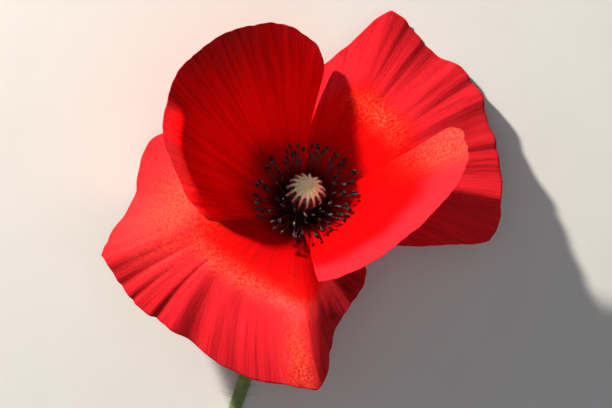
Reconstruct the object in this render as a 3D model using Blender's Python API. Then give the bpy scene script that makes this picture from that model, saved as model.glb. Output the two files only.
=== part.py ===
"""A picked corn poppy: one open flower on its cut stem, lying on a surface.

The frame: the surface is z = 0, the cut stem runs towards -Y, and the flower's
own axis rises from the receptacle, tilted from the vertical towards +Y.
Shapes of the flower are given in its own round coordinates: an azimuth in
degrees about the flower's axis, a radius, and a height above the receptacle.
"""
import math

import bmesh
import bpy
import numpy as np

MM = 0.001

# The pose of the flower head
RECEPTACLE_AT = (-1.9 * MM, 33.9 * MM, 12.3 * MM)
FLOWER_TILT = math.radians(30)

# Stem and receptacle
STEM_RADIUS = 1.3 * MM
STEM_LENGTH = 116 * MM
NECK_LENGTH = 5 * MM
STEM_END_SWAY = 2.5 * MM
SWAY_TURNS = 2.5
BEND_STEPS = 10
STRAIGHT_STEPS = 12
RECEPTACLE_RADIUS = 4.0 * MM

# Seed capsule
CAPSULE_HEIGHT = 8.8 * MM
CAPSULE_FOOT = 0.35 * MM
CAPSULE_SIDES = 20
OVARY_RADIUS = 3.1 * MM
STIGMA_RADIUS = 3.7 * MM

# Stamens
STAMEN_RINGS = (2.55 * MM, 3.0 * MM, 3.45 * MM)
STAMENS_PER_RING = 18
FILAMENT_RADIUS = 0.15 * MM
ANTHER_RADIUS = 0.36 * MM
ANTHER_LENGTH = 1.3 * MM
STAMEN_FOOT = 0.4 * MM
STAMEN_HEIGHT = 8.1 * MM
STAMEN_LEAN = 4.2 * MM
LEAN_PER_RING = 1.5 * MM
DROP_PER_RING = 0.6 * MM
SPREAD = 0.5 * MM
OPEN_SIDE = 75

# Petals
PETAL_THICKNESS = 0.4 * MM
CLAW_RADIUS = 4.6 * MM
INNER_CLAW_HEIGHT = 0.7 * MM
OUTER_CLAW_HEIGHT = -0.3 * MM

# Each petal is a fan of curved veins. "claw" is the arc of azimuths where the
# petal grows from the receptacle. "knee" and "rim" are lines across the petal,
# points of (azimuth in degrees, radius in mm, height in mm): every vein leaves
# the claw towards the knee line, turns there and ends on the rim.
PETALS = {
    "inner_petal_left": dict(
        claw=(226, 98), claw_height=INNER_CLAW_HEIGHT, bend=0.66, shoulder=0.5,
        knee=[(217, 11.5, 2), (196, 15, 4), (176, 17.5, 6.5), (156, 19, 8.5),
              (136, 18.5, 9), (117, 17, 6.5), (110, 14.5, 4.5)],
        rim=[(213, 22, 2.5), (198, 26, 9), (192, 30.5, 23), (179, 30, 30.5),
             (163, 27.5, 33.5), (138, 27.5, 28.5), (116, 29.5, 21.5), (96, 32, 12.5)]),
    "inner_petal_right": dict(
        claw=(44, -80), claw_height=INNER_CLAW_HEIGHT, bend=0.66, shoulder=0.75,
        knee=[(29, 14.5, 10), (20, 16.5, 10), (7, 15.5, 9.5), (-14, 14, 8.5),
              (-39, 13, 7), (-66, 13.5, 4.5)],
        rim=[(34, 28.5, 23), (19, 28.5, 25), (5, 27.5, 27), (-13, 25.5, 27),
             (-34, 24.5, 24.5), (-53, 24.5, 20), (-71, 24, 12.5)]),
    "outer_petal_back": dict(
        claw=(-24, 134), claw_height=OUTER_CLAW_HEIGHT, bend=0.75, shoulder=0.6,
        knee=[(-4, 12, -1.5), (11, 19.5, 3.5), (19, 21, 8.5), (36, 19.5, 11),
              (53, 20.5, 12), (74, 22, 11), (89, 21.5, 7.5), (105, 17.5, 3.5)],
        rim=[(-9, 21, 1.5), (-2, 30, 5), (2, 37.5, 9), (19, 39.5, 8.5),
             (38, 40.5, 10), (54, 43.5, 10), (69, 43, 9), (83, 42.5, 13),
             (94, 32.5, 10), (115, 25.5, 4)]),
    "outer_petal_front": dict(
        claw=(136, 330), claw_height=OUTER_CLAW_HEIGHT, bend=0.75, shoulder=0.6,
        knee=[(161, 17, 0), (190, 21.5, 0), (208, 24, 2.5), (225, 24.5, 4),
              (240, 23.5, 5.5), (262, 24, 7), (287, 29, 8.5), (301, 20, 2.5),
              (319, 14, 0.5)],
        rim=[(154, 29, 1.5), (167, 35.5, -7.5), (183, 33.5, -14),
             (211, 39.5, -4), (225, 38.5, -6.5), (242, 35.5, -7.5),
             (262, 35.5, -7.5), (278, 37, -5), (291, 38.5, 1), (299, 29, 3),
             (312, 24, 3.5), (330, 21, 4.5)]),
}


def make_material(name, colour, roughness):
    """Plain Principled material."""
    material = bpy.data.materials.new(name)
    material.use_nodes = True
    shader = material.node_tree.nodes["Principled BSDF"]
    shader.inputs["Base Color"].default_value = (*colour, 1.0)
    shader.inputs["Roughness"].default_value = roughness
    shader.inputs["Metallic"].default_value = 0.0
    return material


def place(points):
    """Points in the flower's straight axes (height last) as world points."""
    x, y, height = np.moveaxis(np.asarray(points, float), -1, 0)
    lean, rise = math.sin(FLOWER_TILT), math.cos(FLOWER_TILT)
    world = np.stack([x, y * rise + height * lean, height * rise - y * lean], -1)
    return world + np.array(RECEPTACLE_AT)


def from_round(azimuth, radius, height):
    """Round coordinates (degrees) as the flower's straight axes."""
    angle = np.radians(azimuth)
    flat = radius * np.cos(angle), radius * np.sin(angle)
    return np.stack(np.broadcast_arrays(*flat, height), -1)


def smooth_line(points, across):
    """A Catmull-Rom curve through evenly spaced points, across from -1 to 1."""
    points = np.asarray(points, float)
    last = len(points) - 1
    first_ghost = 2 * points[0] - points[1]
    last_ghost = 2 * points[-1] - points[-2]
    padded = np.vstack([first_ghost, points, last_ghost])
    position = (across + 1) / 2 * last
    index = np.clip(np.floor(position).astype(int), 0, last - 1)
    f = (position - index)[..., None]
    a, b, c, d = (padded[index + step] for step in range(4))
    return b + 0.5 * f * (c - a + f * (2 * a - 5 * b + 4 * c - d + f * (3 * (b - c) + d - a)))


def petal_surface(petal, across, along):
    """Points on a petal: across from -1 to 1, along from 0 (claw) to 1 (rim)."""
    first, last = petal["claw"]
    azimuth = first + (last - first) * (across + 1) / 2
    claw = from_round(azimuth, CLAW_RADIUS, petal["claw_height"])
    lines = []
    for line in (petal["knee"], petal["rim"]):
        azimuths, radii, heights = np.array(line, float).T
        corners = from_round(azimuths, radii * MM, heights * MM)
        lines.append(smooth_line(corners, across))
    knee, rim = lines
    short = petal["shoulder"]
    reach = short + (1 - short) * (1 - np.abs(across) ** 6) ** (1 / 6)
    t = (along * reach)[..., None]
    first_handle = claw + (knee - claw) * petal["bend"]
    second_handle = rim + (knee - rim) * petal["bend"]
    curve = (1 - t) ** 3 * claw + 3 * (1 - t) ** 2 * t * first_handle
    return curve + 3 * (1 - t) * t * t * second_handle + t ** 3 * rim


def make_petal(name, petal, veins, rows, material):
    """A petal as a thin closed shell around its curved surface."""
    bm = bmesh.new()
    bmesh.ops.create_grid(bm, x_segments=veins, y_segments=rows, size=1.0)
    grid = np.array([vertex.co[:] for vertex in bm.verts])
    spots = place(petal_surface(petal, grid[:, 0], (grid[:, 1] + 1) / 2))
    for vertex, spot in zip(bm.verts, spots):
        vertex.co = spot
    bmesh.ops.recalc_face_normals(bm, faces=bm.faces)
    obj = add_object(name, bm, material)
    solidify = obj.modifiers.new("Thickness", "SOLIDIFY")
    solidify.thickness = PETAL_THICKNESS
    solidify.offset = 0.0
    return obj


def add_object(name, bm, material):
    """A smooth-shaded object from a bmesh."""
    mesh = bpy.data.meshes.new(name)
    bm.to_mesh(mesh)
    bm.free()
    mesh.shade_smooth()
    mesh.materials.append(material)
    obj = bpy.data.objects.new(name, mesh)
    bpy.context.collection.objects.link(obj)
    return obj


def make_rod(name, points, radii, resolution, material):
    """A closed round rod along points, with its own radius at each one."""
    curve = bpy.data.curves.new(name, "CURVE")
    curve.dimensions = "3D"
    curve.bevel_depth = 1.0
    curve.bevel_resolution = resolution
    curve.use_fill_caps = True
    spline = curve.splines.new("POLY")
    spline.points.add(len(points) - 1)
    for spot, point, radius in zip(spline.points, points, radii):
        spot.co = (*point, 1.0)
        spot.radius = radius
    curve.materials.append(material)
    obj = bpy.data.objects.new(name, curve)
    bpy.context.collection.objects.link(obj)
    return obj


def make_stem(material):
    """The cut stem: along the surface, then up in one bend to the receptacle."""
    lean, rise = math.sin(FLOWER_TILT), math.cos(FLOWER_TILT)
    x0, y0, z0 = RECEPTACLE_AT
    neck = [(0.0, RECEPTACLE_RADIUS * 0.93), (0.8 * MM, RECEPTACLE_RADIUS),
            (2.0 * MM, RECEPTACLE_RADIUS * 0.72), (NECK_LENGTH, STEM_RADIUS * 1.15)]
    points = [(x0, y0 - depth * lean, z0 - depth * rise) for depth, _ in neck]
    radii = [radius for _, radius in neck]
    turn = math.pi / 2 - FLOWER_TILT
    neck_end = np.array(points[-1])
    bend_radius = (neck_end[2] - STEM_RADIUS) / (1 - math.cos(turn))
    centre = neck_end + bend_radius * np.array([0, -math.sin(turn), math.cos(turn)])
    for step in range(1, BEND_STEPS + 1):
        angle = turn * (1 - step / BEND_STEPS)
        offset = np.array([0, math.sin(angle), -math.cos(angle)])
        points.append(tuple(centre + bend_radius * offset))
        radii.append(STEM_RADIUS)
    straight = STEM_LENGTH - NECK_LENGTH - bend_radius * turn
    flat_start = points[-1]
    for step in range(1, STRAIGHT_STEPS + 1):
        share = step / STRAIGHT_STEPS
        sway = STEM_END_SWAY * share * share * math.sin(SWAY_TURNS * share)
        points.append((flat_start[0] - sway, flat_start[1] - straight * share, STEM_RADIUS))
        radii.append(STEM_RADIUS)
    return make_rod("stem", points, radii, 3, material)


def make_capsule(material):
    """The ovary with its ribbed cap, as one turned body."""
    top = CAPSULE_HEIGHT
    profile = [(0, CAPSULE_FOOT), (1.5 * MM, CAPSULE_FOOT), (2.0 * MM, 1.2 * MM),
               (OVARY_RADIUS * 0.84, 2.8 * MM), (OVARY_RADIUS, 4.8 * MM),
               (OVARY_RADIUS * 0.97, top - 3.0 * MM), (STIGMA_RADIUS, top - 2.4 * MM),
               (STIGMA_RADIUS * 0.94, top - 1.3 * MM), (STIGMA_RADIUS * 0.6, top - 0.35 * MM),
               (0, top)]
    bm = bmesh.new()
    corners = [bm.verts.new((radius, 0, height)) for radius, height in profile]
    edges = [bm.edges.new(pair) for pair in zip(corners, corners[1:])]
    bmesh.ops.spin(bm, geom=corners + edges, axis=(0, 0, 1), cent=(0, 0, 0),
                   angle=math.tau, steps=CAPSULE_SIDES, use_merge=True)
    bmesh.ops.remove_doubles(bm, verts=bm.verts, dist=0.00001)
    bmesh.ops.recalc_face_normals(bm, faces=bm.faces)
    spots = place([vertex.co[:] for vertex in bm.verts])
    for vertex, spot in zip(bm.verts, spots):
        vertex.co = spot
    return add_object("seed_capsule", bm, material)


def make_stamens(material):
    """Rings of stamens around the ovary, each leaning out on a thin filament."""
    count = 0
    for ring, foot in enumerate(STAMEN_RINGS):
        for place_in_ring in range(STAMENS_PER_RING):
            count += 1
            wander = math.sin(12.9898 * count)
            azimuth = (place_in_ring + ring / 3 + 0.12 * wander) * 360 / STAMENS_PER_RING
            room = 0.82 + 0.15 * math.cos(2 * math.radians(azimuth - OPEN_SIDE))
            lean = STAMEN_LEAN + LEAN_PER_RING * ring + SPREAD * math.sin(5.3 * count)
            reach = lean * room
            top = STAMEN_HEIGHT - DROP_PER_RING * ring + SPREAD * math.sin(7.7 * count)
            tip = from_round(azimuth, foot + reach, top)
            base = from_round(azimuth, foot, STAMEN_FOOT)
            elbow = from_round(azimuth, foot + reach * (0.45 - 0.15 * ring), top * 0.6)
            shares = np.array([0, 0.3, 0.6, 0.84])[:, None]
            filament = ((1 - shares) ** 2 * base + 2 * (1 - shares) * shares * elbow
                        + shares ** 2 * tip)
            direction = tip - filament[-1]
            direction /= np.linalg.norm(direction)
            anther = [filament[-1] + direction * ANTHER_LENGTH * part for part in (0.3, 0.7, 1.0)]
            points = place(np.vstack([filament, anther]))
            radii = [FILAMENT_RADIUS] * 4 + [ANTHER_RADIUS, ANTHER_RADIUS, ANTHER_RADIUS * 0.4]
            make_rod(f"stamen_{count:02d}", points, radii, 0, material)


for old in list(bpy.data.objects):
    bpy.data.objects.remove(old)

stem_green = make_material("stem_green", (0.20, 0.33, 0.11), 0.6)
capsule_cream = make_material("capsule_cream", (0.62, 0.55, 0.30), 0.7)
stamen_black = make_material("stamen_black", (0.03, 0.02, 0.04), 0.6)
petal_red = make_material("petal_red", (0.80, 0.02, 0.02), 0.5)

make_stem(stem_green)
make_capsule(capsule_cream)
make_stamens(stamen_black)
for petal_name, petal_shape in PETALS.items():
    vein_count = 2 * len(petal_shape["rim"])
    make_petal(petal_name, petal_shape, vein_count, 10, petal_red)
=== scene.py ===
import math

import bmesh
import bpy
import numpy as np
from mathutils import Matrix, Vector


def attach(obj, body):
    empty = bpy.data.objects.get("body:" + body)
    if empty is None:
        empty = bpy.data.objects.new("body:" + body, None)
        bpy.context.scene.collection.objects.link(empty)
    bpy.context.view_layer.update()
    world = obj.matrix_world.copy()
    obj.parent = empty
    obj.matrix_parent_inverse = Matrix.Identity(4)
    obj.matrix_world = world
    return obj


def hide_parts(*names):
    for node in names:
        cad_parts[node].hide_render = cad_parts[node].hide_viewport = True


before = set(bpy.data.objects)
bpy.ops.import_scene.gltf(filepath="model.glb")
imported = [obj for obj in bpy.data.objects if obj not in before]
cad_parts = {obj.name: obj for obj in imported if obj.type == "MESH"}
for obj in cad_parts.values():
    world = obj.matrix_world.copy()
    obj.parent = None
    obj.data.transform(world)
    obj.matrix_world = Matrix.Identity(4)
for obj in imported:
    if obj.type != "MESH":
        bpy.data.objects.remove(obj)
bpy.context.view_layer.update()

# ---------------------------------------------------------------------------
# Stem. A cut poppy stem is a thin, matt green, faintly ribbed rod that swells
# into the receptacle under the flower. It lies on the surface and turns up in
# one soft bend to carry the flower head, which leans away from the cut end.
# ---------------------------------------------------------------------------
MM = 0.001
FLOWER_TILT = math.radians(30)
RECEPTACLE = Vector((-1.9, 33.9, 12.3)) * MM
FLOWER_AXIS = Vector((0, math.sin(FLOWER_TILT), math.cos(FLOWER_TILT)))
IN_FLOWER = Matrix.Translation(RECEPTACLE) @ Matrix.Rotation(-FLOWER_TILT, 4, "X")

STEM_RADIUS = 1.3 * MM
STEM_LENGTH = 116 * MM
STEM_SIDES = 24
STEM_END_SWAY = 2.5 * MM
SWAY_TURN = 2.5
RIPPLE = 0.02
RIPPLE_TURN = 19
BEND_STEPS = 24
BEND_FLARE = 0.1
STRAIGHT_STEPS = 60
NECK_LENGTH = 5 * MM
RECEPTACLE_RADIUS = 4.0 * MM
# Depth under the receptacle's top that is fully in painted shade.
SHADED_CROWN_DEPTH = 1.0 * MM
# Depth under the receptacle in mm, and share of the receptacle's radius there.
NECK = ((0.0, 0.93), (0.4, 0.99), (0.8, 1.0), (1.3, 0.9), (2.0, 0.72), (3.0, 0.52),
        (4.0, 0.42), (5.0, 0.375))


class Signal:
    """A socket of a material's node tree, so that shader maths reads as arithmetic."""

    def __init__(self, tree, socket=None):
        self.tree = tree
        self.socket = socket

    def node(self, kind, settings, sockets, output=0):
        """Any node: its settings are set first, then its sockets' values or links."""
        made = self.tree.nodes.new(kind)
        for key, value in settings.items():
            setattr(made, key, value)
        for key, value in sockets.items():
            if isinstance(value, Signal):
                self.tree.links.new(value.socket, made.inputs[key])
            else:
                made.inputs[key].default_value = value
        return Signal(self.tree, made.outputs[output])

    def maths(self, operation, *values):
        return self.node("ShaderNodeMath", {"operation": operation}, dict(enumerate(values)))

    def __add__(self, other):
        return self.maths("ADD", self, other)

    def __sub__(self, other):
        return self.maths("SUBTRACT", self, other)

    def __rsub__(self, other):
        return self.maths("SUBTRACT", other, self)

    def __mul__(self, other):
        return self.maths("MULTIPLY", self, other)

    __radd__ = __add__
    __rmul__ = __mul__

    def step(self, low, high):
        """Rises smoothly from 0 at low to 1 at high."""
        return self.node("ShaderNodeMapRange", {"interpolation_type": "SMOOTHSTEP"},
                         {"Value": self, "From Min": low, "From Max": high})

    def place(self):
        """Each point's place on the finished flower."""
        return self.node("ShaderNodeTexCoord", {}, {}, 3)

    def attribute(self, name):
        """A value painted on the mesh's vertices."""
        return self.node("ShaderNodeAttribute", {"attribute_name": name}, {}, 2)

    def noise(self, vector, scale, detail=2.0, roughness=0.5):
        return self.node("ShaderNodeTexNoise", {},
                         {"Vector": vector, "Scale": scale, "Detail": detail,
                          "Roughness": roughness})

    def stretched(self, scale):
        """This vector, scaled along each axis."""
        return self.node("ShaderNodeVectorMath", {"operation": "MULTIPLY"}, {0: self, 1: scale})

    def mix(self, first, second):
        """The first colour where this is 0 and the second where it is 1."""
        return self.node("ShaderNodeMix", {"data_type": "RGBA"}, {0: self, 6: first, 7: second}, 2)


def new_finish(name, **constants):
    """A material, its Principled shader with constant sockets set, and a blank signal."""
    material = bpy.data.materials.new(name)
    material.use_nodes = True
    shader = material.node_tree.nodes["Principled BSDF"]
    for key, value in constants.items():
        shader.inputs[key.replace("_", " ")].default_value = value
    return material, shader, Signal(material.node_tree)


def dress(blank, shader, colour, roughness, height, bump_distance):
    """Link what varies over the surface: its colour, roughness and relief."""
    tree = blank.tree
    tree.links.new(colour.socket, shader.inputs["Base Color"])
    tree.links.new(roughness.socket, shader.inputs["Roughness"])
    bump = blank.node("ShaderNodeBump", {}, {"Height": height, "Distance": bump_distance})
    tree.links.new(bump.socket, shader.inputs["Normal"])


def add_piece(name, bm, *materials):
    """A smooth-shaded object at the origin that rides on the flower's one body."""
    mesh = bpy.data.meshes.new(name)
    bm.to_mesh(mesh)
    bm.free()
    mesh.shade_smooth()
    for material in materials:
        mesh.materials.append(material)
    piece = bpy.data.objects.new(name, mesh)
    bpy.context.collection.objects.link(piece)
    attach(piece, "root")
    return piece


def grow(bm, centres, radii, sides):
    """A closed shoot with a ring of its own radius at each centre."""
    centres = [Vector(centre) for centre in centres]
    rings = []
    heading = (centres[1] - centres[0]).normalized()
    turn = heading.to_track_quat("Z", "Y")
    for index, (centre, radius) in enumerate(zip(centres, radii)):
        ahead = centres[min(index + 1, len(centres) - 1)] - centres[max(index - 1, 0)]
        turn = heading.rotation_difference(ahead.normalized()) @ turn
        heading = ahead.normalized()
        size = Matrix.Diagonal((radius, radius, radius, 1.0))
        rings.append(Matrix.Translation(centre) @ turn.to_matrix().to_4x4() @ size)
    ring = bmesh.ops.create_circle(bm, segments=sides, radius=1.0, matrix=rings[0])["verts"]
    edges = list({edge for vertex in ring for edge in vertex.link_edges})
    first_face = bmesh.ops.contextual_create(bm, geom=edges)["faces"]
    grown_faces = list(first_face)
    for before, after in zip(rings, rings[1:]):
        grown = bmesh.ops.extrude_edge_only(bm, edges=edges)["geom"]
        ring = [item for item in grown if isinstance(item, bmesh.types.BMVert)]
        grown_faces += [item for item in grown if isinstance(item, bmesh.types.BMFace)]
        bmesh.ops.transform(bm, matrix=after @ before.inverted(), verts=ring)
        inside = set(ring)
        edges = [item for item in grown
                 if isinstance(item, bmesh.types.BMEdge) and inside.issuperset(item.verts)]
    grown_faces += bmesh.ops.contextual_create(bm, geom=edges)["faces"]
    bmesh.ops.recalc_face_normals(bm, faces=grown_faces)
    return grown_faces


def stem_route():
    """Centres and radii along the stem, from the receptacle to the cut end."""
    centres = [RECEPTACLE - FLOWER_AXIS * depth * MM for depth, _ in NECK]
    radii = [RECEPTACLE_RADIUS * share for _, share in NECK]
    turn = math.pi / 2 - FLOWER_TILT
    bend_radius = (centres[-1].z - STEM_RADIUS) / (1 - math.cos(turn))
    middle = centres[-1] + bend_radius * Vector((0, -math.sin(turn), math.cos(turn)))
    for step in range(1, BEND_STEPS + 1):
        share = 1 - step / BEND_STEPS
        angle = turn * share
        centres.append(middle + bend_radius * Vector((0, math.sin(angle), -math.cos(angle))))
        radii.append(STEM_RADIUS * (1 + BEND_FLARE * share ** 2))
    straight = STEM_LENGTH - NECK_LENGTH - bend_radius * turn
    start = centres[-1].copy()
    for step in range(1, STRAIGHT_STEPS + 1):
        share = step / STRAIGHT_STEPS
        sway = STEM_END_SWAY * share * share * math.sin(SWAY_TURN * share)
        centres.append(Vector((start.x - sway, start.y - straight * share, STEM_RADIUS)))
        radii.append(STEM_RADIUS * (1 - RIPPLE * math.sin(RIPPLE_TURN * share)))
    return centres, radii


def stem_finish():
    """Matt pale green skin with long fine ribs, and painted near-black shade on top of the receptacle
    and the collar just under it.
    """
    material, shader, blank = new_finish("stem_skin", Sheen_Weight=0.06, Specular_IOR_Level=0.2)
    place_on = blank.place()
    ribs = blank.noise(place_on.stretched((1900, 60, 1900)), 1.0, 3.0)
    blotches = blank.noise(place_on, 420, 4.0)
    shade = (ribs * 0.6 + blotches * 0.4).step(0.3, 0.7)
    skin = shade.mix((0.11, 0.19, 0.045, 1), (0.31, 0.42, 0.15, 1))
    # Painted shade: near-black on the receptacle's top and the collar just under it, where the claws
    # and stamens shade it.
    colour = blank.attribute("crown").mix(skin, (0.018, 0.002, 0.006, 1))
    dress(blank, shader, colour, blotches * 0.3 + 0.45, ribs + blotches * 0.5, 0.0002)
    return material


stem_centres, stem_radii = stem_route()
bm = bmesh.new()
grow(bm, stem_centres, stem_radii, STEM_SIDES)
crown_shade_layer = bm.verts.layers.float.new("crown")
for vertex in bm.verts:
    depth = (RECEPTACLE - vertex.co).dot(FLOWER_AXIS)
    vertex[crown_shade_layer] = 1 - min(max((depth - SHADED_CROWN_DEPTH) / MM, 0), 1)
stem_piece = add_piece("flower_stem", bm, stem_finish())
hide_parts("stem")

# ---------------------------------------------------------------------------
# Stem bristles. The stem carries thin, stiff, pale hairs that stand straight
# out from its skin. Each is a slender cone rooted in the skin.
# ---------------------------------------------------------------------------
BRISTLE_COUNT = 170
BRISTLE_RADIUS = 0.07 * MM
SHORTEST_BRISTLE = 2.0 * MM
LONGEST_BRISTLE = 3.8 * MM
BRISTLE_SIDES = 4
BRISTLE_ROOTED = 0.8
RINGS_WITHOUT_BRISTLES = 6
LOWEST_HAIR = BRISTLE_RADIUS * 0.3


def bristle_finish():
    """Pale straw-coloured hair."""
    material, shader, blank = new_finish("bristle_hair", Sheen_Weight=0.3)
    place_on = blank.place()
    mottle = blank.noise(place_on, 900, 2.0)
    colour = mottle.mix((0.35, 0.30, 0.14, 1), (0.66, 0.62, 0.38, 1))
    dress(blank, shader, colour, mottle * 0.2 + 0.5, mottle, 0.00005)
    return material


chance = np.random.default_rng(4)
bm = bmesh.new()
for bristle in range(BRISTLE_COUNT):
    share = (bristle + chance.random()) / BRISTLE_COUNT
    index = RINGS_WITHOUT_BRISTLES + int(share * (len(stem_centres) - RINGS_WITHOUT_BRISTLES - 2))
    heading = (stem_centres[index + 1] - stem_centres[index - 1]).normalized()
    around = chance.uniform(-0.15, 1.15) * math.pi
    side = heading.cross(Vector((0, 0, 1))).normalized()
    out = side * math.cos(around) + heading.cross(-side) * abs(math.sin(around))
    root = stem_centres[index] + heading * chance.uniform(-0.8, 0.8) * MM
    length = chance.uniform(SHORTEST_BRISTLE, LONGEST_BRISTLE)
    droop = Vector((0, 0, -0.12)) * length * chance.random()
    tip = root + out * (stem_radii[index] + length) + heading * length * chance.normal(0, 0.2)
    middle = root.lerp(tip, 0.55)
    grow(bm, [root + out * stem_radii[index] * BRISTLE_ROOTED, middle, tip + droop],
         [BRISTLE_RADIUS, BRISTLE_RADIUS * 0.7, BRISTLE_RADIUS * 0.15], BRISTLE_SIDES)
for vertex in bm.verts:
    vertex.co.z = max(vertex.co.z, LOWEST_HAIR)
bristles = add_piece("stem_bristles", bm, bristle_finish())

# ---------------------------------------------------------------------------
# Seed capsule. A dark, faintly ribbed ovary grows on the receptacle. Its lid
# is a low dome: cream stigma rays join at the crown, part further out and hang
# over the edge in small curled knobs, with dark skin between them.
# ---------------------------------------------------------------------------
RAY_COUNT = 15
RAY_SIDES = 10
BEND_REACH = 3.5 * MM
CAPSULE_STEPS = RAY_COUNT * 8
RIB_SWELL = 0.035
CROWN_HEIGHT = 9.0 * MM
CROWN_STEPS = 30
LID_RADIUS = 3.55 * MM
LID_SAG = 0.5 * MM
LID_DROOP = 1.35 * MM
LID_EDGE = 0.35 * MM
LID_UNDER_RAYS = 0.1 * MM
# Radius and height of the ovary's side, in mm.
OVARY_SIDE = ((0, 0.35), (1.5, 0.35), (2.0, 1.2), (2.3, 1.9), (2.62, 2.8), (2.92, 3.8),
              (3.1, 4.8), (3.12, 5.6), (2.95, 6.4), (2.6, 7.0))
LID_SHARES = (0.99, 0.93, 0.8, 0.6, 0.4, 0.2, 0)
# Radius of the crown where the rays join, and its lift over the lid, in mm.
CROWN_SIDE = ((0.4, 0.28), (0.9, 0.34), (1.5, 0.33), (2.1, 0.25), (2.4, 0.1), (2.5, -0.15))
# Radius, lift over the lid and thickness of a ray on its way out, in mm.
RAY_STATIONS = ((0.6, 0.12, 0.18), (1.2, 0.2, 0.26), (1.8, 0.2, 0.31), (2.4, 0.17, 0.31),
                (2.9, 0.14, 0.27), (3.3, 0.1, 0.24))
# Distance past the knob, drop under the lid's edge and thickness of the curled end, in mm.
RAY_KNOB = ((0, 0.12, 0.2), (0.05, 0.5, 0.2), (-0.15, 0.85, 0.17), (-0.35, 0.9, 0.08))


def lid_height(radius):
    """Height of the lid's dome at a distance from its middle."""
    share = radius / LID_RADIUS
    return CROWN_HEIGHT - LID_SAG * share - LID_DROOP * share ** 3


def turned(bm, profile, steps):
    """A closed body turned about the flower's axis from (radius, height) points."""
    corners = [bm.verts.new((radius, 0, height)) for radius, height in profile]
    edges = [bm.edges.new(pair) for pair in zip(corners, corners[1:])]
    bmesh.ops.spin(bm, geom=corners + edges, axis=(0, 0, 1), cent=(0, 0, 0),
                   angle=math.tau, steps=steps, use_merge=True)
    bmesh.ops.remove_doubles(bm, verts=bm.verts, dist=0.000005)
    bmesh.ops.recalc_face_normals(bm, faces=bm.faces)


def ovary_finish():
    """Dark maroon skin with paler, redder ribs running up the sides."""
    material, shader, blank = new_finish("ovary_skin", Specular_IOR_Level=0.5)
    place_on = blank.place()
    mottle = blank.noise(place_on, 900, 3.0)
    tone = (mottle * 0.35 + blank.attribute("rib") * 0.75).step(0.35, 0.95)
    colour = tone.mix((0.055, 0.006, 0.014, 1), (0.20, 0.055, 0.050, 1))
    dress(blank, shader, colour, mottle * 0.2 + 0.35, mottle, 0.0001)
    return material


def ray_finish():
    """Velvety cream, softly mottled and flushed pink at the drooping ends."""
    material, shader, blank = new_finish("stigma_velvet", Sheen_Weight=0.35,
                                         Subsurface_Weight=0.2, Subsurface_Scale=0.0006)
    place_on = blank.place()
    nap = blank.noise(place_on, 5200, 3.0, 0.65)
    cloud = blank.noise(place_on, 700, 2.0)
    end = blank.attribute("ray_end").step(0.72, 1.04)
    cream = (nap * 0.6 + cloud * 0.4).step(0.3, 0.7)
    base = cream.mix((0.97, 0.86, 0.42, 1), (1.0, 0.97, 0.62, 1))
    colour = end.mix(base, (0.64, 0.24, 0.21, 1))
    dress(blank, shader, colour, nap * 0.15 + 0.6, nap, 0.00012)
    return material


bm = bmesh.new()
profile = [(radius * MM, height * MM) for radius, height in OVARY_SIDE]
profile += [(LID_RADIUS * 0.93, lid_height(LID_RADIUS) - LID_EDGE)]
profile += [(LID_RADIUS * share, lid_height(LID_RADIUS * share) - LID_UNDER_RAYS)
            for share in LID_SHARES]
turned(bm, profile, CAPSULE_STEPS)
rib_layer = bm.verts.layers.float.new("rib")
for vertex in bm.verts:
    angle = math.atan2(vertex.co.y, vertex.co.x)
    rib = 0.5 + 0.5 * math.cos(RAY_COUNT * angle)
    vertex[rib_layer] = rib
    swell = 1 + RIB_SWELL * (rib - 0.5)
    vertex.co.x *= swell
    vertex.co.y *= swell
bmesh.ops.transform(bm, matrix=IN_FLOWER, verts=bm.verts)
ovary = add_piece("ovary", bm, ovary_finish())
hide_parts("seed_capsule")

chance = np.random.default_rng(11)
bm = bmesh.new()
end_layer = bm.verts.layers.float.new("ray_end")
crown = [(0, lid_height(0) + 0.2 * MM)]
crown += [(radius * MM, lid_height(radius * MM) + lift * MM) for radius, lift in CROWN_SIDE]
crown += [(0, lid_height(0) - 0.5 * MM)]
turned(bm, crown, CROWN_STEPS)
for ray in range(RAY_COUNT):
    angle = (ray + chance.normal(0, 0.07)) * math.tau / RAY_COUNT
    knob = LID_RADIUS * chance.uniform(1.02, 1.09)
    edge_height = lid_height(LID_RADIUS)
    course = [(radius * MM, lid_height(radius * MM) + lift * MM) for radius, lift, _ in RAY_STATIONS]
    course += [(knob + past * MM, edge_height - drop * MM) for past, drop, _ in RAY_KNOB]
    radii = [width * MM for _, _, width in RAY_STATIONS + RAY_KNOB]
    bend = chance.normal(0, 0.05)
    centres = [Matrix.Rotation(angle + bend * radius / BEND_REACH, 4, "Z") @ Vector((radius, 0, height))
               for radius, height in course]
    faces = grow(bm, centres, radii, RAY_SIDES)
    for vertex in {vertex for face in faces for vertex in face.verts}:
        vertex[end_layer] = vertex.co.xy.length / LID_RADIUS
bmesh.ops.transform(bm, matrix=IN_FLOWER, verts=bm.verts)
rays = add_piece("stigma_rays", bm, ray_finish())

# ---------------------------------------------------------------------------
# Stamens. Rings of them stand around the ovary: thin dark filaments, each with
# a two-lobed, near-black anther dusted with grey-green pollen. They lean out
# until they meet the petals, and the outermost reach furthest and lowest.
# ---------------------------------------------------------------------------
STAMEN_RINGS = (2.55 * MM, 3.0 * MM, 3.45 * MM)
STAMENS_PER_RING = 18
STAMEN_FOOT = 0.3 * MM
OUTER_STAMENS = 44
OUTER_RING = 3.8 * MM
# Heights, leans and spreads of the tips are in mm.
STAMEN_HEIGHT = 8.1
STAMEN_LEAN = 4.2
LEAN_PER_RING = 1.5
DROP_PER_RING = 0.6
SPREAD = 0.5
OUTER_LEAN = (5.6, 7.8)
OUTER_HEIGHT = (5.2, 7.0)
FILAMENT_RADIUS = 0.11 * MM
FILAMENT_STEPS = 8
FILAMENT_SIDES = 6
LOBE_APART = 0.17 * MM
LOBE_PAST_TIP = 0.35 * MM
LOBE_SIZE = (0.21 * MM, 0.25 * MM, 0.56 * MM)
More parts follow.
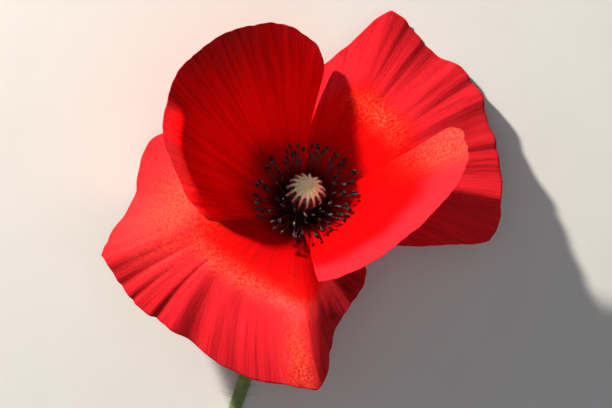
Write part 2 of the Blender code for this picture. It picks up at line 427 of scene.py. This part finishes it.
# Azimuth in degrees of the cup's open side, and the usual share of a stamen's lean with its swing.
OPEN_SIDE = 75
ROOM = (0.82, 0.15)
OUTER_ROOM = (0.86, 0.14)
# How far a stamen strays from its place in the ring, and the turns of the sines that vary it.
WANDER = 0.12
WANDER_TURN = 12.9898
LEAN_TURN = 5.3
HEIGHT_TURN = 7.7


def filament_finish():
    """Glossy thread, black-purple with dark red stretches."""
    material, shader, blank = new_finish("filament_thread", Specular_IOR_Level=0.6)
    place_on = blank.place()
    mottle = blank.noise(place_on, 800, 2.0)
    colour = mottle.step(0.35, 0.75).mix((0.016, 0.001, 0.004, 1), (0.12, 0.002, 0.006, 1))
    dress(blank, shader, colour, mottle * 0.2 + 0.3, mottle, 0.00003)
    return material


def anther_finish():
    """Near-black lobes with pale dusty pollen caught on them."""
    material, shader, blank = new_finish("anther_dust", Specular_IOR_Level=0.4)
    place_on = blank.place()
    grains = blank.noise(place_on, 2600, 3.0, 0.7)
    shed = blank.noise(place_on, 420, 1.0).step(0.46, 0.66)
    dust = grains.step(0.50, 0.64) * (shed * 0.9 + 0.1)
    colour = dust.mix((0.006, 0.004, 0.008, 1), (0.34, 0.36, 0.29, 1))
    dress(blank, shader, colour, dust * 0.3 + 0.4, grains, 0.0001)
    return material


def round_point(azimuth, radius, height):
    """Round coordinates about the flower's axis, azimuth in degrees."""
    angle = math.radians(azimuth)
    return Vector((radius * math.cos(angle), radius * math.sin(angle), height))


def room_towards(azimuth, usual, swing):
    """Share of its lean that a stamen has room for, most along the cup's open side."""
    return usual + swing * math.cos(2 * math.radians(azimuth - OPEN_SIDE))


def make_stamen(name, foot, elbow, tip, twist):
    """One stamen: a bent filament, with two anther lobes across its tip."""
    bm = bmesh.new()
    points = []
    radii = []
    for step in range(FILAMENT_STEPS + 1):
        share = step / FILAMENT_STEPS
        points.append(foot * (1 - share) ** 2 + elbow * 2 * (1 - share) * share + tip * share ** 2)
        radii.append(FILAMENT_RADIUS * (1.25 - 0.5 * share))
    grow(bm, points, radii, FILAMENT_SIDES)
    along = (points[-1] - points[-2]).normalized()
    swing = Matrix.Rotation(twist, 3, along.orthogonal())
    along = (swing @ along).normalized()
    across = along.orthogonal().normalized()
    across = Matrix.Rotation(twist * 5, 3, along) @ across
    pose = Matrix((across, along.cross(across), along)).transposed().to_4x4()
    for side in (-1, 1):
        at = tip + across * side * LOBE_APART + along * LOBE_PAST_TIP
        shape = Matrix.Translation(at) @ pose @ Matrix.Diagonal((*LOBE_SIZE, 1))
        before = set(bm.faces)
        bmesh.ops.create_icosphere(bm, subdivisions=2, radius=1.0, matrix=shape)
        for face in set(bm.faces) - before:
            face.material_index = 1
    bmesh.ops.transform(bm, matrix=IN_FLOWER, verts=bm.verts)
    piece = add_piece(name, bm, filament_thread, anther_dust)
    return piece


filament_thread = filament_finish()
anther_dust = anther_finish()
chance = np.random.default_rng(23)
number = 0
for ring, ring_radius in enumerate(STAMEN_RINGS):
    for turn_in_ring in range(STAMENS_PER_RING):
        number += 1
        wander = WANDER * math.sin(WANDER_TURN * number)
        azimuth = (turn_in_ring + ring / len(STAMEN_RINGS) + wander) * 360 / STAMENS_PER_RING
        reach = STAMEN_LEAN + LEAN_PER_RING * ring + SPREAD * math.sin(LEAN_TURN * number)
        reach *= room_towards(azimuth, *ROOM) * MM
        top = STAMEN_HEIGHT - DROP_PER_RING * ring + SPREAD * math.sin(HEIGHT_TURN * number)
        top *= MM
        foot = round_point(azimuth, ring_radius, STAMEN_FOOT)
        elbow = round_point(azimuth + chance.normal(0, 5), ring_radius + reach * 0.3, top * 0.6)
        tip = round_point(azimuth + chance.normal(0, 3), ring_radius + reach, top)
        stamen = make_stamen(f"dark_stamen_{number:02d}", foot, elbow, tip, chance.normal(0, 0.5))
        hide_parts(f"stamen_{number:02d}")
for extra in range(OUTER_STAMENS):
    number += 1
    azimuth = (extra + chance.uniform(-0.35, 0.35)) * 360 / OUTER_STAMENS
    reach = chance.uniform(*OUTER_LEAN) * room_towards(azimuth, *OUTER_ROOM) * MM
    top = chance.uniform(*OUTER_HEIGHT) * MM
    foot = round_point(azimuth, OUTER_RING, STAMEN_FOOT)
    elbow = round_point(azimuth + chance.normal(0, 5), OUTER_RING + reach * 0.25, top * 0.6)
    tip = round_point(azimuth + chance.normal(0, 4), OUTER_RING + reach, top)
    make_stamen(f"dark_stamen_{number:02d}", foot, elbow, tip, chance.normal(0, 0.6))

# ---------------------------------------------------------------------------
# Petals. Two inner petals make the cup and two outer ones spread under them.
# Each is a paper-thin fan of veins that grows from the receptacle, satiny red,
# crumpled from the bud, pleated towards its rim and near-black at its claw.
# Their colour carries painted shade in dusky patches, in the creases and deep in
# the cup, painted orange highlights, and a pinker outer skin that is partly painted sheen.
# ---------------------------------------------------------------------------
PETAL_THICKNESS = 0.14 * MM
PETAL_ROWS = 100
CLAW_RADIUS = 4.0 * MM
INNER_CLAW_HEIGHT = 0.4 * MM
OUTER_CLAW_HEIGHT = -0.3 * MM
NEARBY = 0.002
CREASES_PER_PLEAT = 3
CREASE_SPAN = 0.97
# Darkness of the painted shade in the pleats' creases.
CREASE_SHADE = 0.8
FOLD_FADE = 0.3
# Turns and depth in mm of the small waves along a petal's rim.
RIM_WAVES = ((17, 0.16), (41, 0.10), (83, 0.06))
ROLL_CREST = 0.13
ROLL_CURVE = 1.5
ROLL_END = 4
SCALLOP = 0.28
# The world's upright in the flower's own axes.
UPRIGHT = np.array((0.0, -math.sin(FLOWER_TILT), math.cos(FLOWER_TILT)))

# A petal runs across from -1 to 1 and along from 0 at its claw to 1 at its rim. Knee and rim
# are (azimuth in degrees, radius and height in mm) about the flower's axis. The rest is:
# claw: first and last azimuth of the foot, which stands at claw_height
# bend: how squarely the petal turns at its knee
# shoulder: how far along its side edges reach
# pleats: height in mm, how many, where across they are deepest, and how far that spreads
# folds: (across, width, height in mm, start and end along) of a sharp ridge
# corners: (across, width, push in mm) of a point on the rim
# silk and wine: (across, spread, along, spread, weight) of a painted orange highlight that also carries
# a real glossy coat, or of a patch of painted shade
# blush: where along the pinker skin starts and is full; it is partly the petal's own tone and partly
# painted sheen
# rolls: (across, spread, start and end along, lift and drop in mm) of a rim that rolls over
PETALS = {
    "inner_petal_left": dict(
        claw=(226, 98), claw_height=INNER_CLAW_HEIGHT, bend=0.66, shoulder=0.5,
        knee=[(217, 11.5, 2), (196, 15, 4), (176, 17.5, 6.5), (156, 19, 8.5),
              (136, 18.5, 9), (117, 17, 6.5), (110, 14.5, 4.5)],
        rim=[(213, 22, 2.5), (198, 26, 9), (192, 30.5, 23), (179, 30, 30.5),
             (163, 27.5, 33.5), (138, 27.5, 28.5), (116, 29.5, 21.5), (96, 32, 12.5)],
        pleats=(0.28, 12, 0.3, 0.7), folds=[(-0.3, 0.07, 1.2, 0.05, 0.75)],
        corners=[], silk=[],
        painted_shade=[(0.2, 0.5, 1.05, 0.34, 1.0), (0.1, 0.28, 0.24, 0.1, 0.9),
              (-0.8, 0.3, 0.28, 0.14, 0.9), (-0.42, 0.07, 0.36, 0.2, 0.6)],
        pink_and_painted_sheen=(0.8, 1.2),
        rolls=[(-0.56, 0.33, 0.8, 1.0, 4.5, 7.0), (1.0, 0.1, -0.1, 0.9, 0.0, 1.4),
               (-1.0, 0.12, -0.2, 0.7, 0.0, 0.45)]),
    "inner_petal_right": dict(
        claw=(44, -80), claw_height=INNER_CLAW_HEIGHT, bend=0.66, shoulder=0.75,
        knee=[(29, 14.5, 10), (20, 16.5, 10), (7, 15.5, 9.5), (-14, 14, 8.5),
              (-39, 13, 7), (-66, 13.5, 4.5)],
        rim=[(34, 28.5, 23), (19, 28.5, 25), (5, 27.5, 27), (-13, 25.5, 27),
             (-34, 24.5, 24.5), (-53, 24.5, 20), (-71, 24, 12.5)],
        pleats=(0.16, 9, 0.0, 0.8), folds=[],
        corners=[(-0.88, 0.14, 1.3)], silk=[(-0.8, 0.25, 0.92, 0.22, 1.0)],
        painted_shade=[],
        pink_and_painted_sheen=(0.62, 0.9), rolls=[]),
    "outer_petal_back": dict(
        claw=(-24, 134), claw_height=OUTER_CLAW_HEIGHT, bend=0.75, shoulder=0.6,
        knee=[(-4, 12, -1.5), (11, 19.5, 3.5), (19, 21, 8.5), (36, 19.5, 11),
              (53, 20.5, 12), (74, 22, 11), (89, 21.5, 7.5), (105, 17.5, 3.5)],
        rim=[(-9, 21, 1.5), (-2, 30, 5), (2, 37.5, 9), (19, 39.5, 8.5),
             (38, 40.5, 10), (54, 43.5, 10), (69, 43, 9), (83, 42.5, 13),
             (94, 32.5, 10), (115, 25.5, 4)],
        pleats=(0.75, 11, 0.08, 0.4), folds=[(-0.62, 0.04, 0.9, 0.5, 1.3)],
        corners=[(0.56, 0.06, 1.0)],
        silk=[(0.3, 0.25, 0.52, 0.07, 0.85)],
        painted_shade=[(-0.42, 0.12, 0.8, 0.35, 0.45), (-0.1, 0.5, 0.9, 0.3, 0.35)],
        pink_and_painted_sheen=(0.5, 0.7), rolls=[]),
    "outer_petal_front": dict(
        claw=(136, 330), claw_height=OUTER_CLAW_HEIGHT, bend=0.75, shoulder=0.6,
        knee=[(161, 17, 0), (190, 21.5, 0), (208, 24, 2.5), (225, 24.5, 4),
              (240, 23.5, 5.5), (262, 24, 7), (287, 29, 8.5), (301, 20, 2.5),
              (319, 14, 0.5)],
        rim=[(154, 29, 1.5), (167, 35.5, -7.5), (183, 33.5, -14),
             (211, 39.5, -4), (225, 38.5, -6.5), (242, 35.5, -7.5),
             (262, 35.5, -7.5), (278, 37, -5), (291, 38.5, 1), (299, 29, 3),
             (312, 24, 3.5), (330, 21, 4.5)],
        pleats=(0.9, 13, -0.12, 0.3), folds=[(0.455, 0.06, 1.3, 0.3, 1.3)],
        corners=[(0.44, 0.05, 1.2), (0.54, 0.05, -1.3), (-0.44, 0.04, 1.6)],
        silk=[(-0.6, 0.3, 0.62, 0.25, 0.8), (0.0, 0.5, 0.5, 0.07, 0.8),
              (0.39, 0.05, 0.85, 0.3, 1.0)],
        painted_shade=[(0.75, 0.24, 0.8, 0.4, 1.0), (0.0, 0.75, 0.3, 0.13, 0.4)],
        pink_and_painted_sheen=(0.38, 0.58), rolls=[(0.82, 0.32, 0.1, 1.0, 0.0, 4.0)]),
}


def from_round(azimuth, radius, height):
    """Round coordinates (degrees) as the flower's straight axes."""
    angle = np.radians(azimuth)
    flat = radius * np.cos(angle), radius * np.sin(angle)
    return np.stack(np.broadcast_arrays(*flat, height), -1)


def smooth_line(points, across):
    """A Catmull-Rom curve through evenly spaced points, across from -1 to 1."""
    points = np.asarray(points, float)
    last = len(points) - 1
    padded = np.vstack([2 * points[0] - points[1], points, 2 * points[-1] - points[-2]])
    position = (across + 1) / 2 * last
    index = np.clip(np.floor(position).astype(int), 0, last - 1)
    f = (position - index)[..., None]
    a, b, c, d = (padded[index + step] for step in range(4))
    return b + 0.5 * f * (c - a + f * (2 * a - 5 * b + 4 * c - d + f * (3 * (b - c) + d - a)))


def petal_surface(petal, across, along):
    """Points on a petal's smooth fan, before its folds, pleats and rolls."""
    first, last = petal["claw"]
    azimuth = first + (last - first) * (across + 1) / 2
    claw = from_round(azimuth, CLAW_RADIUS, petal["claw_height"])
    lines = []
    for line in (petal["knee"], petal["rim"]):
        azimuths, radii, heights = np.array(line, float).T
        corners = from_round(azimuths, radii * MM, heights * MM)
        lines.append(smooth_line(corners, across))
    knee, rim = lines
    short = petal["shoulder"]
    reach = short + (1 - short) * (1 - np.abs(across) ** 6) ** (1 / 6)
    t = (along * reach)[..., None]
    first_handle = claw + (knee - claw) * petal["bend"]
    second_handle = rim + (knee - rim) * petal["bend"]
    curve = (1 - t) ** 3 * claw + 3 * (1 - t) ** 2 * t * first_handle
    return curve + 3 * (1 - t) * t * t * second_handle + t ** 3 * rim


def petal_finish():
    """Silky scarlet skin: fine dark veins, a crepe grain and a near-black claw, with painted shade,
    painted orange highlights and a pinker outer skin that is partly painted sheen.
    """
    material, shader, blank = new_finish(
        "petal_silk", Sheen_Weight=0.015, Sheen_Roughness=0.4, Sheen_Tint=(1.0, 0.45, 0.4, 1),
        Specular_IOR_Level=0.02, Subsurface_Weight=0.6, Subsurface_Scale=0.0003,
        Subsurface_Radius=(1.0, 0.04, 0.03), Coat_Roughness=0.42, Coat_IOR=1.4,
        Coat_Tint=(1.0, 0.62, 0.42, 1))
    fan = blank.node("ShaderNodeUVMap", {"uv_map": "fan"}, {})
    place_on = blank.place()
    along = blank.node("ShaderNodeSeparateXYZ", {}, {0: fan}, 1)
    silk = blank.attribute("silk")
    painted_shade = blank.attribute("painted_shade")
    crease_shade = blank.attribute("crease_shade")
    broad = blank.noise(fan.stretched((26, 1.1, 0)), 1.0, 3.0, 0.6)
    fine = blank.noise(fan.stretched((120, 3.0, 0)), 1.0, 3.0, 0.65)
    crepe = blank.noise(place_on, 1900, 3.0, 0.65)
    cloud = blank.noise(place_on, 130, 3.0)
    pink_and_painted_sheen = blank.attribute("pink_and_painted_sheen")
    # Pinker outer skin: partly the petal's own tone, partly painted sheen.
    outward = (pink_and_painted_sheen + cloud * 0.4).step(0.3, 1.1)
    clear = outward.mix((0.90, 0.0008, 0.0018, 1), (0.86, 0.019, 0.032, 1))
    deep = outward.mix((0.42, 0.0, 0.002, 1), (0.36, 0.004, 0.010, 1))
    streaks = (broad * 0.5 + fine * 0.5).step(0.42, 0.66)
    veined = (streaks * (0.18 + along * 0.5)).mix(clear, deep)
    # Painted shade: dusky patches where the petal lies in shade, darker along its streaks.
    shaded = (painted_shade * (0.5 + streaks * 0.5)).mix(veined, (0.11, 0.008, 0.007, 1))
    # Painted shade in the pleats' creases, by their depth.
    creased = crease_shade.mix(shaded, (0.20, 0.003, 0.008, 1))
    # Painted shade deep in the cup, fading out away from the claw.
    cup = (1.0 - along.step(0.12, 0.45)) * 0.6
    creased = cup.mix(creased, (0.40, 0.0, 0.002, 1))
    # Painted highlight: orange glints of the crepe grain where the silk mask is set.
    painted_glints = (crepe + fine * 0.25).step(0.50, 0.78)
    with_painted_glints = (painted_glints * silk).mix(creased, (0.95, 0.115, 0.045, 1))
    claw = 1.0 - along.step(0.03, 0.17)
    colour = (claw * 0.96).mix(with_painted_glints, (0.010, 0.0, 0.005, 1))
    relief = fine * 0.45 + crepe * 0.45 + broad * 0.3
    dress(blank, shader, colour, crepe * 0.25 + 0.5, relief, 0.00025)
    # The silk mask also sets a real glossy coat.
    blank.tree.links.new((silk * 0.22).socket, shader.inputs["Coat Weight"])
    return material


def patch(across, along, spots):
    """A soft mask: each spot has a middle and a spread across and along, and a weight."""
    mask = np.zeros_like(across)
    for middle, spread, at, reach, weight in spots:
        spot = np.exp(-((across - middle) / spread) ** 2 - ((along - at) / reach) ** 2)
        mask = np.maximum(mask, weight * spot)
    return mask


def pleats(across, along, petal, chance):
    """Heights of a petal's waves and of the narrow creases between its pleats."""
    strength, count, deep_at, deep_spread = petal["pleats"]
    deep = 0.3 + 0.7 * np.exp(-((across - deep_at) / deep_spread) ** 2)
    waves = np.zeros_like(across)
    for octave, weight in ((1.0, 0.7), (2.1, 0.3)):
        phase, lean = chance.uniform(0, math.tau, 2)
        swell = 0.55 + 0.45 * np.sin(across * 4.3 * octave + lean)
        waves += weight * swell * np.sin(across * count * octave * math.pi + phase)
    heights = waves * 0.5 * (0.1 * along + 0.9 * along ** 2)
    grooves = np.zeros_like(across)
    creases = count * CREASES_PER_PLEAT
    places = np.linspace(-CREASE_SPAN, CREASE_SPAN, creases)
    for place in places + chance.uniform(-0.5, 0.5, creases) * 2 * CREASE_SPAN / creases:
        width = chance.uniform(0.25, 1.0) * 0.5 / count
        depth = chance.uniform(0.15, 1.0) ** 1.5
        start = chance.uniform(0.35, 0.75)
        drift = place + chance.normal(0, 0.012) * (along - 0.7)
        valley = np.exp(-((across - drift) / width) ** 2)
        grown = np.clip((along - start) / (1.0 - start), 0, 1) ** 0.8
        heights -= depth * valley * grown
        grooves = np.maximum(grooves, depth * valley * grown)
    return heights * strength * deep, grooves * deep


def crumpled_petal(petal, across, along, chance):
    """Points on a petal with its folds, pleats, rolls and uneven rim, and its creases' depth."""
    points = petal_surface(petal, across, along)
    left = petal_surface(petal, np.clip(across - NEARBY, -1, 1), along)
    right = petal_surface(petal, np.clip(across + NEARBY, -1, 1), along)
    lower = petal_surface(petal, across, np.clip(along - NEARBY, 0, 1))
    upper = petal_surface(petal, across, np.clip(along + NEARBY, 0, 1))
    normals = np.cross(right - left, upper - lower)
    normals /= np.linalg.norm(normals, axis=1, keepdims=True)
    if normals[:, 2].mean() < 0:
        normals = -normals
    outward = (upper - lower) / np.linalg.norm(upper - lower, axis=1, keepdims=True)
    relief, grooves = pleats(across, along, petal, chance)
    for middle, width, height, start, end in petal["folds"]:
        crest = np.exp(-np.abs(across - middle) / width)
        risen = np.clip((along - start) / FOLD_FADE, 0, 1)
        relief += height * crest * risen * np.clip((end - along) / FOLD_FADE, 0, 1)
    points = points + normals * (relief * MM)[:, None]
    for middle, spread, start, end, lift, drop in petal["rolls"]:
        past = np.clip((along - start) / (end - start), 0, 1)
        swell = lift * np.exp(-((along - start) / ROLL_CREST) ** 2) - drop * past ** ROLL_CURVE
        swell *= MM * np.exp(-((across - middle) / spread) ** ROLL_END)
        points += swell[:, None] * UPRIGHT
    scallop = petal["pleats"][0] * SCALLOP * grooves
    for turns, depth in RIM_WAVES:
        scallop += depth * np.sin(across * turns + chance.uniform(0, math.tau))
    for middle, width, push in petal["corners"]:
        scallop -= push * np.exp(-np.abs(across - middle) / width)
    return points - outward * (scallop * along ** 6 * MM)[:, None], grooves


def paint_petal(bm, petal, across, along, grooves, seed):
    """The masks and the fan-shaped UV map that the petal's finish follows."""
    pink_sheen_start, pink_sheen_full = petal["pink_and_painted_sheen"]
    # silk: a painted orange highlight that also sets a real glossy coat.
    masks = {"silk": patch(across, along, petal["silk"]),
             # Pinker outer skin, partly painted sheen.
             "pink_and_painted_sheen": np.clip((along - pink_sheen_start) / (pink_sheen_full - pink_sheen_start), 0, 1),
             # Patches of painted shade.
             "painted_shade": patch(across, along, petal["painted_shade"]),
             # Painted shade in the creases.
             "crease_shade": np.clip(grooves * petal["pleats"][0], 0, 1) * CREASE_SHADE}
    for mask, values in masks.items():
        layer = bm.verts.layers.float.new(mask)
        for vertex, value in zip(bm.verts, values):
            vertex[layer] = value
    fan = bm.loops.layers.uv.new("fan")
    for face in bm.faces:
        for loop in face.loops:
            index = loop.vert.index
            loop[fan].uv = (across[index] + seed, along[index])


def make_petal(name, veins, seed):
    """One petal: a grid moved onto its fan of veins, painted, then given its thickness."""
    petal = PETALS[name]
    chance = np.random.default_rng(seed)
    bm = bmesh.new()
    bmesh.ops.create_grid(bm, x_segments=veins, y_segments=PETAL_ROWS, size=1.0)
    grid = np.array([vertex.co[:] for vertex in bm.verts])
    across, along = grid[:, 0], (grid[:, 1] + 1) / 2
    points, grooves = crumpled_petal(petal, across, along, chance)
    for vertex, point in zip(bm.verts, points):
        vertex.co = point
    paint_petal(bm, petal, across, along, grooves, seed)
    bmesh.ops.recalc_face_normals(bm, faces=bm.faces)
    bmesh.ops.transform(bm, matrix=IN_FLOWER, verts=bm.verts)
    for vertex in bm.verts:
        vertex.co.z = max(vertex.co.z, PETAL_THICKNESS)
    piece = add_piece(name + "_silk", bm, petal_silk)
    solidify = piece.modifiers.new("Thickness", "SOLIDIFY")
    solidify.thickness = PETAL_THICKNESS
    solidify.offset = 0.0
    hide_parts(name)


petal_silk = petal_finish()
make_petal("outer_petal_back", veins=280, seed=3)
make_petal("outer_petal_front", veins=300, seed=5)
make_petal("inner_petal_left", veins=260, seed=7)
make_petal("inner_petal_right", veins=220, seed=9)

# ---------------------------------------------------------------------------
# Surface, light and camera. A pale matt table top, one fairly low key light
# that rakes across the cup, a broad soft fill, and a camera straight above.
# ---------------------------------------------------------------------------
TABLE_HALF = 1500 * MM
CAMERA_HEIGHT = 440 * MM
VIEW_ROLL = math.radians(18)
FRAME_WIDTH = 122.4 * MM
AIM_RIGHT = 1.0 * MM
AIM_UP = 0.6 * MM

table, table_shader, blank = new_finish("table_top", Specular_IOR_Level=0.3)
place_on = blank.place()
grain = blank.noise(place_on, 60, 3.0)
dress(blank, table_shader, grain.mix((0.70, 0.70, 0.68, 1), (0.75, 0.75, 0.73, 1)),
      grain * 0.1 + 0.6, grain, 0.0001)
bm = bmesh.new()
bmesh.ops.create_grid(bm, x_segments=1, y_segments=1, size=TABLE_HALF)
floor_mesh = bpy.data.meshes.new("table_top")
bm.to_mesh(floor_mesh)
bm.free()
floor_mesh.materials.append(table)
floor = bpy.data.objects.new("table_top", floor_mesh)
bpy.context.collection.objects.link(floor)


def area_light(name, direction, distance, size, power, colour):
    """A square light that looks at the flower from a direction."""
    lamp = bpy.data.lights.new(name, "AREA")
    lamp.size = size
    lamp.energy = power
    lamp.color = colour
    holder = bpy.data.objects.new(name, lamp)
    towards = Vector(direction).normalized()
    holder.location = RECEPTACLE + towards * distance
    holder.rotation_euler = towards.to_track_quat("Z", "Y").to_euler()
    bpy.context.collection.objects.link(holder)


def in_view(right, up, near):
    """A direction in the camera's own right, up and towards-camera axes."""
    cosine, sine = math.cos(VIEW_ROLL), math.sin(VIEW_ROLL)
    return Vector((right * cosine - up * sine, right * sine + up * cosine, near))


area_light("key_light", in_view(-0.597, 0.663, 0.452), distance=0.9, size=0.06, power=15.0,
           colour=(1.0, 0.92, 0.82))
area_light("fill_light", (0.12, -0.15, 1.0), distance=1.2, size=1.2, power=3.0,
           colour=(0.92, 0.95, 1.0))
world = bpy.data.worlds.new("studio")
world.use_nodes = True
backdrop = world.node_tree.nodes["Background"]
backdrop.inputs["Color"].default_value = (0.9, 0.95, 1.0, 1.0)
backdrop.inputs["Strength"].default_value = 0.10
bpy.context.scene.world = world
bpy.context.scene.view_settings.view_transform = "Standard"

lens = bpy.data.cameras.new("camera")
lens.sensor_width = 36.0
lens.lens = lens.sensor_width * CAMERA_HEIGHT / FRAME_WIDTH
camera = bpy.data.objects.new("camera", lens)
camera.location = RECEPTACLE + in_view(AIM_RIGHT, AIM_UP, CAMERA_HEIGHT)
camera.rotation_euler = (0, 0, VIEW_ROLL)
bpy.context.collection.objects.link(camera)
bpy.context.scene.camera = camera
